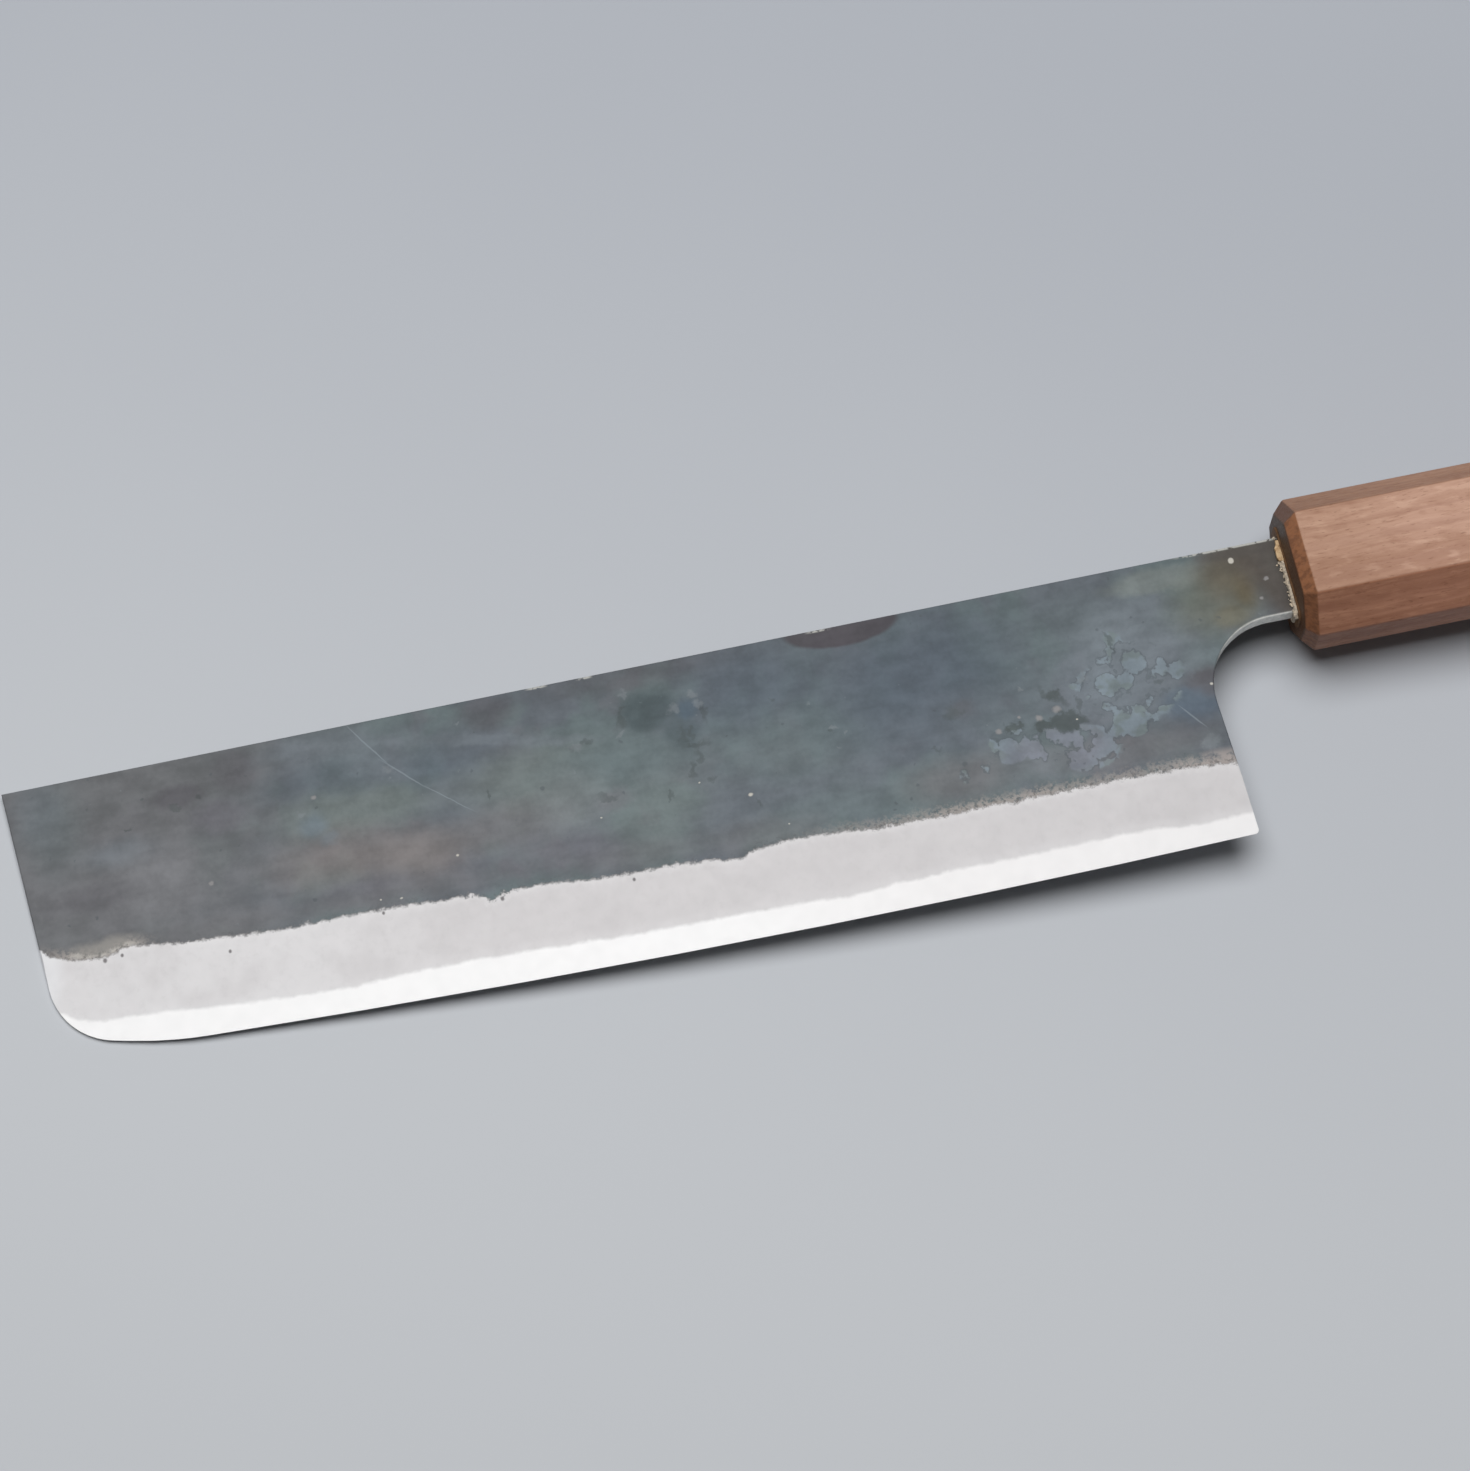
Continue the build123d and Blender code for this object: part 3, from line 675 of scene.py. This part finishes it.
# The splinter: a strip of the liner's end that stands proud against the neck, and stayed bare. Its outer
# end is torn back, most at the spine's side and a little at its foot.
splinter_middle, splinter_size = (liner_front, -2.9, 2.27), (1.9, 4.2, 0.9)
outer, top, foot = liner_front - 0.2, -1.6, -4.3


def roughen(piece, name, lump, height):
    """Pushes the piece's surface in and out by soft noise, in lumps about that many millimetres across."""
    noise = bpy.data.textures.new(name, "CLOUDS")
    noise.noise_scale = lump
    push = piece.modifiers.new(name, "DISPLACE")
    push.texture, push.strength, push.texture_coords = noise, height, "LOCAL"
    bpy.ops.object.modifier_apply(modifier=name)


splinter = new_block("bare_splinter", splinter_middle, splinter_size)
bpy.ops.object.mode_set(mode="EDIT")
bpy.ops.mesh.select_all(action="SELECT")
bpy.ops.mesh.bevel(offset=soft_edge, segments=2, affect="EDGES")
bpy.ops.mesh.select_all(action="SELECT")
bpy.ops.mesh.subdivide(number_cuts=5)
choose_edges(splinter, lambda one, two: min(one.y, two.y) > top and max(one.x, two.x) < outer)
bpy.ops.transform.translate(value=(0.45, 0, -0.2))
choose_edges(splinter, lambda one, two: max(one.y, two.y) < foot and max(one.x, two.x) < outer)
bpy.ops.transform.translate(value=(0.25, 0.2, -0.1))
bpy.ops.object.mode_set(mode="OBJECT")
roughen(splinter, "torn_end", lump=0.7, height=0.3)
lay_down(splinter, 60)
bare_finish, bare_shader, place = new_finish("bare_pine", Roughness=0.7, Specular_IOR_Level=0.3)
bare_grain = cloud(in_knife(place), 0.7, 4, 0.65)
bare_pine = over(seen(208, 179, 140), seen(178, 145, 108), ease(bare_grain, 0.42, 0.66))
bare_pine.feed(bare_shader, "Base Color")
splinter.data.materials.append(bare_finish)
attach(splinter, "root")

# The bead: glue and wood dust squeezed out round the neck, a thin ridge along the liner with crumbs that
# dried on the neck, and a lobe under it. Every lump starts as a drop: its place and its radius.
neck_side = neck_thick / 2
ridge_top, ridge_out, ridge_size, ridge_step, ridge_drops = 4.5, neck_side + 0.235, 0.42, 0.1, 100
ridge_at, crumbs_at = liner_front - 0.08, liner_front - 0.15
under_start, under_down, under_size, under_step, under_drops = -2.0, neck_deep + 0.4, 0.34, 0.115, 36
crumb_top, crumb_deep, crumb_reach, crumbs = 4.6, 9.6, 0.8, 130
chance = Random(11)
drops = []
for step in range(ridge_drops):
    down = ridge_top + step * ridge_step
    for side in (1, -1):
        ahead, wobble = chance.uniform(-0.08, 0.08), chance.uniform(-0.05, 0.05)
        drops.append((ridge_at + ahead, -down, side * (ridge_out + wobble), ridge_size))
for step in range(under_drops):
    ahead = chance.uniform(-0.05, 0.05)
    drops.append((crumbs_at + ahead, -under_down, under_start + step * under_step, under_size))
for crumb in range(crumbs):
    down = crumb_top + crumb_deep * chance.random()
    out_by = chance.choice((1, 1, -1)) * (neck_side + 0.035 + chance.uniform(0, 0.12))
    ahead = chance.random() ** 2
    size = chance.uniform(0.14, 0.27) * (1 - 0.5 * ahead)
    drops.append((crumbs_at - crumb_reach * ahead, -down, out_by, size))

# Lumps given one by one: the lobe under the neck, then those by the spine, and two stuck to the neck's side
drops += [
    (226.1, -15.0, 1.75, 0.42), (226.25, -15.3, 1.5, 0.36), (226.15, -14.5, 1.95, 0.40),
    (226.1, -0.35, 1.85, 0.30), (225.9, -0.15, 1.7, 0.2), (226.2, 0.1, 1.3, 0.22),
    (225.7, -4.9, 1.88, 0.26), (225.3, -5.3, 1.86, 0.2),
]
bpy.ops.object.select_all(action="DESELECT")
for *where, radius in drops:
    bpy.ops.mesh.primitive_ico_sphere_add(subdivisions=2, radius=radius, location=where)
    bpy.context.object.name = "glue_drop"
for item in bpy.data.objects:
    item.select_set(item.name.startswith("glue_drop"))
bpy.ops.object.join()
bead = bpy.context.object
bead.name = "glue_bead"
bpy.ops.object.transform_apply(location=True, rotation=True, scale=True)
one_skin = bead.modifiers.new("one_skin", "REMESH")
one_skin.mode, one_skin.voxel_size = "VOXEL", 0.07
bpy.ops.object.modifier_apply(modifier="one_skin")
roughen(bead, "dust", lump=0.25, height=0.06)
lay_down(bead, 80)
bead_finish, bead_shader, place = new_finish("glue_and_dust", Roughness=0.6)
bead_place = in_knife(place)
glue = over(seen(206, 190, 168), seen(158, 148, 134), ease(cloud(bead_place, 0.6, 3, 0.6), 0.42, 0.64))
glue = over(glue, seen(92, 86, 80), ease(cloud(bead_place, 0.35, 3, 0.6), 0.58, 0.68) * 0.6)
glue.feed(bead_shader, "Base Color")
bead.data.materials.append(bead_finish)
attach(bead, "root")
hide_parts("neck_bead")

# The table that the knife lies on: one pale blue-grey sheet, painted a little darker towards its far right as
# painted shade where the light falls off
table_wide = 6.0
bpy.ops.mesh.primitive_plane_add(size=table_wide, location=(0, 0, 0))
table = bpy.context.object
table.name = "table"
table_finish, table_shader, place = new_finish("pale_table", Roughness=0.8, Specular_IOR_Level=0.2)
table_x, table_y = split(place)[:2]
far_right = table_y + waver(place, 0.12, 0.04) + table_x * 0.5
table_tone = over(seen(193, 196, 200), seen(169, 173, 180), ease(far_right, -0.14, 0.17))
table_tone.feed(table_shader, "Base Color")
table.data.materials.append(table_finish)

# Studio light: an oval soft box overhead that lights the knife, and a larger, weaker one by it that only
# shows mirrored in the metal. Round them is a dim room, which shows as pale as the table.
# A row is a box's name, its width and length, its power in watts, and where it hangs, facing the knife.
for name, wide, long, power, where in (
    ("key_box", 1.0, 0.80, 12.4, (-0.05, 0.24, 1.02)),
    ("mirrored_box", 1.31, 1.31, 3.2, (-0.116, 0.233, 0.99)),
):
    bpy.ops.object.light_add(type="AREA", location=where)
    soft_box = bpy.context.object
    soft_box.name = name
    soft_box.data.shape, soft_box.data.size, soft_box.data.size_y = "ELLIPSE", wide, long
    soft_box.data.energy = power
    soft_box.rotation_euler = (-soft_box.location).to_track_quat("-Z", "Y").to_euler()
    soft_box.visible_glossy, soft_box.visible_diffuse = name == "mirrored_box", name == "key_box"
room = bpy.data.worlds.new("room")
bpy.context.scene.world = room
room.use_nodes = True
air = room.node_tree.nodes["Background"]
room_lights, room_shows = 0.07, 0.60
camera_ray = Shade(room.node_tree.nodes.new("ShaderNodeLightPath").outputs["Is Camera Ray"])
ways_seen = camera_ray.socket.node.outputs
mirrored_ray, passing_ray = Shade(ways_seen["Is Glossy Ray"]), Shade(ways_seen["Is Transmission Ray"])
shown = (camera_ray + mirrored_ray + passing_ray).at_most(1.0)
air.inputs["Color"].default_value = (0.97, 0.98, 1.0, 1)
ease(shown, 0, 1, room_lights, room_shows).feed(air, "Strength")

# The camera, above the knife and to its left, as the photograph was taken: its turn and its lift in
# degrees, how far off it is, and how long its lens is for a picture 1471 pixels high
turn, lift, distance = radians(-11.209), radians(69.416), 0.53317
sensor, lens_pixels, picture_pixels = 36.0, 3044.6, 1471
look_at = Vector((-0.0564, 0.00965, 0))
back = Vector((sin(turn) * cos(lift), -cos(turn) * cos(lift), sin(lift)))
right = Vector((cos(turn), sin(turn), 0))
up = back.cross(right)
bpy.ops.object.camera_add(location=look_at + back * distance)
camera = bpy.context.object
camera.rotation_euler = Matrix((right, up, back)).transposed().to_euler()
camera.data.sensor_width, camera.data.lens = sensor, lens_pixels / picture_pixels * sensor
camera.data.clip_start = 0.01
bpy.context.scene.camera = camera
bpy.context.scene.view_settings.view_transform = "Standard"
